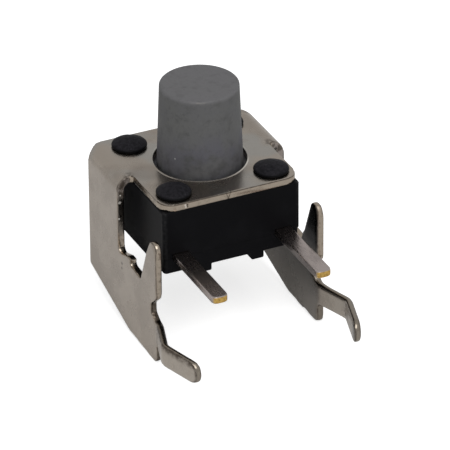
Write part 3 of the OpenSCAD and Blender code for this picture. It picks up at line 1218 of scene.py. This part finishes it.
@dataclass
class Housing:
    """The moulded body with its four flattened studs."""

    node: bpy.types.Object
    finish: BlackMoulding
    centre_y: float = 3.75
    outer_half: float = 2.8
    edge_radius: float = 0.06
    edge_segments: int = 3
    ledge_radius: float = 0.012
    ledge_segments: int = 2
    ledge_reach: float = 0.03
    sharp_angle: float = 27.0
    shank_cut: float = 2.3
    shank_r: float = 0.45
    plate_top: float = 2.40
    stud_offset: float = 2.14
    head_r: float = 0.73
    head_h: float = 0.33
    head_side: Section = ((0.92, 0.004), (0.975, 0.035), (1.0, 0.085), (0.985, 0.125))
    head_turns: int = 56
    dome_rings: int = 11
    dome_share: float = 0.95
    dome_start: float = 0.155
    still_height: float = 0.01
    outline_scale: float = 1.3
    outline_wave: float = 0.025
    outline_level: float = 0.4
    lump_size: float = 0.24
    fine_lumps: float = 2.4
    fine_share: float = 0.5
    lump_height: float = 0.012
    lump_level: float = 0.6

    def outside(self, middle: Vector) -> bool:
        """Tells whether an edge is on the housing's outer sides or its underside."""
        return max(abs(middle.x), abs(middle.y - self.centre_y)) > self.outer_half or middle.z < 0

    def on_ledge(self, middle: Vector) -> bool:
        """Tells whether an edge belongs to the narrow ledge of the parting line."""
        return self.outside(middle) and abs(middle.z) < self.ledge_reach

    def on_body(self, middle: Vector) -> bool:
        """Tells whether an edge is an outer one but not the ledge's."""
        return self.outside(middle) and not self.on_ledge(middle)

    def round_body(self, mesh: bmesh.types.BMesh) -> None:
        """Rounds the outer edges, the parting line's ledge far less than the rest."""
        round_edges(mesh, self.edge_radius, self.sharp_angle, self.edge_segments, self.on_body)
        round_edges(mesh, self.ledge_radius, self.sharp_angle, self.ledge_segments, self.on_ledge)

    def cut_heads(self, mesh: bmesh.types.BMesh) -> None:
        """Cuts the studs off inside the plate, where the new heads start.

        Args:
            mesh: the housing's mesh, in millimetres.
        """
        geom = [*mesh.verts, *mesh.edges, *mesh.faces]
        plane = (0, 0, self.shank_cut)
        cut = bmesh.ops.bisect_plane(mesh, geom=geom, plane_co=plane, plane_no=(0, 0, 1), clear_outer=True)
        rims = [item for item in cut["geom_cut"] if isinstance(item, bmesh.types.BMEdge)]
        bmesh.ops.edgeloop_fill(mesh, edges=rims)

    def head_section(self) -> Section:
        """A head's half section: the shank, an undercut edge and a low dome.

        Returns:
            Its (radius, height above the plate) points.
        """
        low = self.shank_cut - self.plate_top
        points = [(0.0, low), (self.shank_r, low), (self.shank_r, self.head_side[0][1])]
        points += [(self.head_r * share, height) for share, height in self.head_side]
        for ring in range(self.dome_rings):
            outward = 1 - ring / self.dome_rings
            height = self.dome_start + (self.head_h - self.dome_start) * (1 - outward**2)
            points.append((self.head_r * self.dome_share * outward, height))
        return [*points, (0.0, self.head_h)]

    def add_head(self, mesh: bmesh.types.BMesh, x: float, y: float) -> None:
        """Adds one stud head, uneven as a hot punch leaves it.

        Args:
            mesh: the housing's mesh, in millimetres.
            x: where the stud stands across the switch.
            y: where it stands away from the board.
        """
        for vertex in lathe(mesh, self.head_section(), (x, y, self.plate_top), self.head_turns):
            height = vertex.co.z - self.plate_top
            if height <= self.still_height:
                continue
            across = Vector((vertex.co.x - x, vertex.co.y - y, 0.0))
            wave = noise.noise(across * self.outline_scale + Vector((x, y, 0.0)))
            fine = noise.noise(vertex.co * self.fine_lumps / self.lump_size)
            lump = noise.noise(vertex.co / self.lump_size) + self.fine_share * fine
            vertex.co += across * self.outline_wave * (wave - self.outline_level)
            raised = min(height / self.dome_start, 1.0)
            vertex.co.z += self.lump_height * (lump - self.lump_level) * raised

    def build(self) -> bpy.types.Object:
        """Makes the piece and puts it in the node's place.

        Returns:
            The piece.
        """
        mesh = merged_copy(self.node)
        self.round_body(mesh)
        self.cut_heads(mesh)
        for x in (-self.stud_offset, self.stud_offset):
            for y in (self.centre_y - self.stud_offset, self.centre_y + self.stud_offset):
                self.add_head(mesh, x, y)
        piece = make_piece("housing_moulding", mesh, self.finish.material(), smooth_angle=50.0)
        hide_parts("housing")
        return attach(piece, "switch_body")


@dataclass
class Terminal:
    """One flat terminal with a cut tip."""

    node: bpy.types.Object
    node_name: str
    finish: bpy.types.Material
    tip_y: float
    grid_cell: float = 0.03
    passes: int = 5
    tip_depth: float = 0.18
    droop_z: float = 0.12
    cut_gain: float = 1.6
    cut_start: float = 0.3

    def how_cut(self, middle: Vector, normal: Vector) -> float:
        """Tells how much a face belongs to the cut tip, below the plating that the shear drew over it.

        Args:
            middle: the face's middle, in millimetres.
            normal: its direction.

        Returns:
            0 on the plating and 1 on the bare tip.
        """
        if middle.y >= self.tip_y + self.tip_depth or middle.z >= self.droop_z:
            return 0.0
        return min(max(-normal.y * self.cut_gain - self.cut_start, 0.0), 1.0)

    def build(self) -> bpy.types.Object:
        """Makes the piece and puts it in the node's place.

        Returns:
            The piece.
        """
        mesh = regridded(merged_copy(self.node), self.grid_cell)
        wear_down(mesh, self.passes)
        mark_cuts(mesh, self.how_cut)
        piece = make_piece(f"{self.node_name}_strip", mesh, self.finish)
        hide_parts(self.node_name)
        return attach(piece, "switch_body")


@dataclass
class SnapDome:
    """The spring disc under the button."""

    node: bpy.types.Object
    finish: SpringSteel
    rim: Vector
    kept_height: float = 0.04

    def build(self) -> bpy.types.Object:
        """Makes the piece and puts it in the node's place.

        Returns:
            The piece.
        """
        piece = make_piece("snap_dome_disc", merged_copy(self.node), self.finish.material())
        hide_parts("snap_dome")
        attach(piece, "switch_body")
        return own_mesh(piece, "button_press", axis=(0, 0, 1), anchor=tuple(self.rim), keep=self.kept_height)


@dataclass
class Button:
    """The moulded button with its flange and nose."""

    finish: GreyMoulding
    axis_y: float
    low_z: float
    top_z: float
    flange_r: float
    flange_low: float = 1.46
    flange_top: float = 2.06
    hub_r: float = 1.1
    nose_r: float = 0.55
    foot_r: float = 1.74
    plate_top: float = 2.40
    top_r: float = 1.61
    top_edge: float = 0.09
    edge_steps: int = 5
    turns: int = 96

    def section(self) -> Section:
        """The half section from the nose up to the middle of the top.

        Returns:
            Its (radius, height) points, in millimetres.
        """
        points = [
            (0.0, self.low_z),
            (self.nose_r, self.low_z),
            (self.hub_r, self.flange_low),
            (self.flange_r, self.flange_low),
            (self.flange_r, self.flange_top),
            (self.foot_r, self.flange_top),
            (self.foot_r, self.plate_top),
        ]
        for step in range(self.edge_steps + 1):
            angle = pi / 2 * step / self.edge_steps
            inward, down = self.top_edge * (1.0 - cos(angle)), self.top_edge * (1.0 - sin(angle))
            points.append((self.top_r - inward, self.top_z - down))
        return [*points, (0.0, self.top_z)]

    def build(self) -> bpy.types.Object:
        """Makes the piece and puts it in the node's place.

        Returns:
            The piece.
        """
        mesh = bmesh.new()
        lathe(mesh, self.section(), (0.0, self.axis_y, 0.0), self.turns)
        piece = make_piece("button_moulding", mesh, self.finish.material(), smooth_angle=40.0)
        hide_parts("button")
        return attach(piece, "button")


# Studio.


@dataclass(frozen=True)
class Lamp:
    """One soft area lamp that looks at the switch."""

    name: str
    direction: Point
    distance: float
    side: float
    radiance: float
    colour: Colour = (1.0, 1.0, 1.0)

    def place(self, target: Vector) -> None:
        """Puts the lamp up, its power worked out from its brightness and area.

        Args:
            target: the middle of the switch, in metres.
        """
        data = bpy.data.lights.new(self.name, "AREA")
        data.shape = "SQUARE"
        data.size = self.side
        data.energy = self.radiance * pi * self.side**2
        data.color = self.colour
        lamp = bpy.data.objects.new(self.name, data)
        direction = Vector(self.direction).normalized()
        lamp.location = target + direction * self.distance
        lamp.rotation_mode = "QUATERNION"
        lamp.rotation_quaternion = direction.to_track_quat("Z", "Y")
        bpy.context.scene.collection.objects.link(lamp)


@dataclass(frozen=True)
class View:
    """The camera that was fitted to the photograph, its angles in degrees, its lengths in millimetres."""

    azimuth: float = -24.975
    elevation: float = 30.157
    roll: float = -0.452
    distance: float = 206.199
    lens_pixels: float = 5106.913
    image_pixels: float = 450.0
    sensor: float = 36.0
    target: Point = (0.0, 3.75, -0.67)
    off_right: float = 0.982
    off_up: float = -0.036
    clip_metres: Span = (0.01, 2.0)

    def place(self) -> None:
        """Puts the camera up and makes it the scene's."""
        azimuth, elevation, roll = radians(self.azimuth), radians(self.elevation), radians(self.roll)
        back = Vector((sin(azimuth) * cos(elevation), -cos(azimuth) * cos(elevation), sin(elevation)))
        level = Vector((cos(azimuth), sin(azimuth), 0.0))
        upright = back.cross(level)
        right = cos(roll) * level + sin(roll) * upright
        up = -sin(roll) * level + cos(roll) * upright
        eye = Vector(self.target) + right * self.off_right + up * self.off_up + back * self.distance
        data = bpy.data.cameras.new("camera")
        data.sensor_width = self.sensor
        data.lens = self.lens_pixels / self.image_pixels * self.sensor
        data.clip_start, data.clip_end = self.clip_metres
        camera = bpy.data.objects.new("camera", data)
        camera.matrix_world = Matrix.Translation(eye * MM) @ Matrix((right, up, back)).transposed().to_4x4()
        bpy.context.scene.collection.objects.link(camera)
        bpy.context.scene.camera = camera


@dataclass(frozen=True)
class Studio:
    """The pale floor and backdrop, and the soft lamps."""

    floor_z: float
    floor_half: float = 0.25
    floor_colour: Colour = (0.92, 0.92, 0.92)
    floor_glow: float = 0.1
    floor_lift: float = 0.6
    sky: float = 0.5
    backdrop: Colour = (1.0, 1.0, 1.0)
    ceiling: Colour = (0.62, 0.62, 0.62)
    ceiling_height: Span = (-0.1, 0.12)
    lamps: tuple[Lamp, ...] = (Lamp("key", (-0.10, -0.50, 0.85), distance=0.18, side=0.14, radiance=2.6),)

    def floor_material(self) -> bpy.types.Material:
        """Makes a floor that is a pale ground to the camera, metal and glass, and keeps the shadow.

        Returns:
            The material.
        """
        recipe = Recipe(bpy.data.materials.new("floor"))
        matte = recipe.node("ShaderNodeBsdfDiffuse", {}, {"Color": self.floor_colour})
        strength = recipe.shown() * self.floor_glow + recipe.ray(Ray.CAMERA) * self.floor_lift
        glow = recipe.node("ShaderNodeEmission", {}, {"Color": self.backdrop, "Strength": strength})
        both = recipe.node("ShaderNodeAddShader", {}, {0: matte.outputs[0], 1: glow.outputs[0]})
        recipe.node("ShaderNodeOutputMaterial", {}, {"Surface": both.outputs[0]})
        return recipe.owner

    def floor(self) -> None:
        """Lays the floor under the switch."""
        mesh = bmesh.new()
        bmesh.ops.create_grid(mesh, x_segments=1, y_segments=1, size=self.floor_half / MM)
        bmesh.ops.translate(mesh, vec=(0, 0, self.floor_z), verts=mesh.verts)
        bmesh.ops.scale(mesh, vec=(MM,) * 3, verts=mesh.verts)
        data = bpy.data.meshes.new("floor")
        mesh.to_mesh(data)
        mesh.free()
        data.materials.append(self.floor_material())
        piece = bpy.data.objects.new("floor", data)
        bpy.context.scene.collection.objects.link(piece)
        piece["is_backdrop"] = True

    def world(self) -> None:
        """Sets the backdrop, a little darker towards the ceiling."""
        recipe = Recipe(bpy.data.worlds.new("surroundings"))
        direction = Tint(recipe, recipe.node("ShaderNodeTexCoord", {}, {}).outputs["Generated"])
        height = direction.part(Axis.Z).rise(*self.ceiling_height)
        colour = recipe.blend(self.backdrop, self.ceiling, height)
        strength = self.sky + recipe.shown() * (1.0 - self.sky)
        background = recipe.node("ShaderNodeBackground", {}, {"Color": colour, "Strength": strength})
        recipe.node("ShaderNodeOutputWorld", {}, {"Surface": background.outputs[0]})
        bpy.context.scene.world = recipe.owner

    def build(self, target: Vector) -> None:
        """Sets the studio up around the switch.

        Args:
            target: the middle of the switch, in metres.
        """
        self.floor()
        self.world()
        for lamp in self.lamps:
            lamp.place(target)
        bpy.context.scene.view_settings.view_transform = "Standard"


def main() -> None:
    """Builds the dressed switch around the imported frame."""
    logging.basicConfig(level=logging.INFO, format="%(name)s: %(message)s")
    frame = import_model()
    cad_low, cad_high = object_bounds()
    nodes = frame["nodes"]
    Bracket(nodes["bracket"], PlatedSheet()).build()
    Housing(nodes["housing"], BlackMoulding()).build()
    tinned = TinnedBrass().material()
    for name in ("terminal_rim", "terminal_centre"):
        Terminal(nodes[name], name, tinned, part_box(name)[0].y / MM).build()
    low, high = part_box("button")
    Button(
        GreyMoulding(),
        axis_y=(low.y + high.y) / 2 / MM,
        low_z=low.z / MM,
        top_z=high.z / MM,
        flange_r=(high.x - low.x) / 2 / MM,
    ).build()
    SnapDome(nodes["snap_dome"], SpringSteel(), rim=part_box("snap_dome")[0]).build()
    Studio(floor_z=cad_low.z / MM).build((cad_low + cad_high) / 2)
    View().place()
    bpy.context.view_layer.update()
    low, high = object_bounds()


if __name__ == "__main__":
    main()
